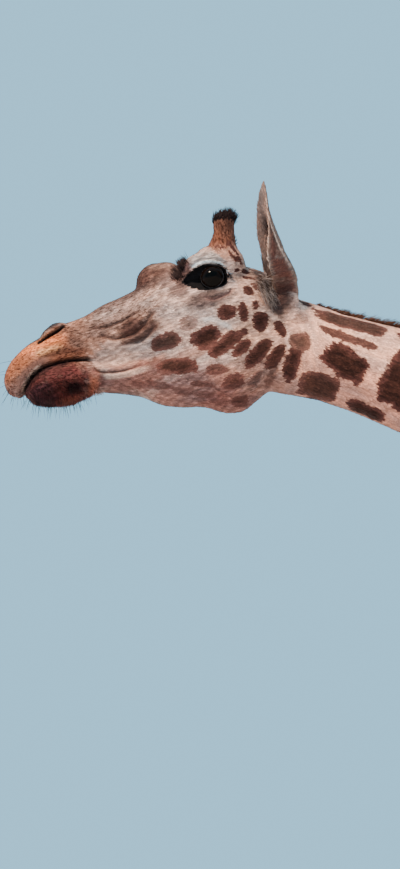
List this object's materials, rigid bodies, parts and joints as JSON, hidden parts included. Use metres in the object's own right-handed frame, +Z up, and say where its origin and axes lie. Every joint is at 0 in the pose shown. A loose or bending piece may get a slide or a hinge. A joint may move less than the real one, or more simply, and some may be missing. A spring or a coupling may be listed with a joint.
{
  "type": "giraffe",
  "caption": "Life-size standing giraffe with its neck stretched forward, as a still natural-history display model.",
  "frame": {"origin": "on the floor, under the middle of the animal's bounding box", "axes": "the animal faces -X and its left side is -Y; +Y is across the body and +Z is up"},
  "size_m": [4.3884, 0.6562, 4.147],
  "materials": {
    "coat": "short dense fur, red-brown patches on a pale ground",
    "mane": "short stiff brown hair",
    "tuft": "long coarse black hair",
    "eye": "wet gloss, near black",
    "hoof": "dull horn"
  },
  "bodies": {
    "root": {"head": "coat", "neck_upper": "coat", "neck_lower": "coat", "trunk": "coat", "foreleg_left": "coat", "foreleg_right": "coat", "hind_leg_left": "coat", "hind_leg_right": "coat", "tail": "coat", "ear_left": "coat", "ear_right": "coat", "ossicone_left": "coat", "ossicone_right": "coat", "mane": "mane", "tail_tuft": "tuft", "eye_left": "eye", "eye_right": "eye", "hoof_fore_left_inner": "hoof", "hoof_fore_left_outer": "hoof", "hoof_fore_right_inner": "hoof", "hoof_fore_right_outer": "hoof", "hoof_hind_left_inner": "hoof", "hoof_hind_left_outer": "hoof", "hoof_hind_right_inner": "hoof", "hoof_hind_right_outer": "hoof"}
  },
  "joints": []
}
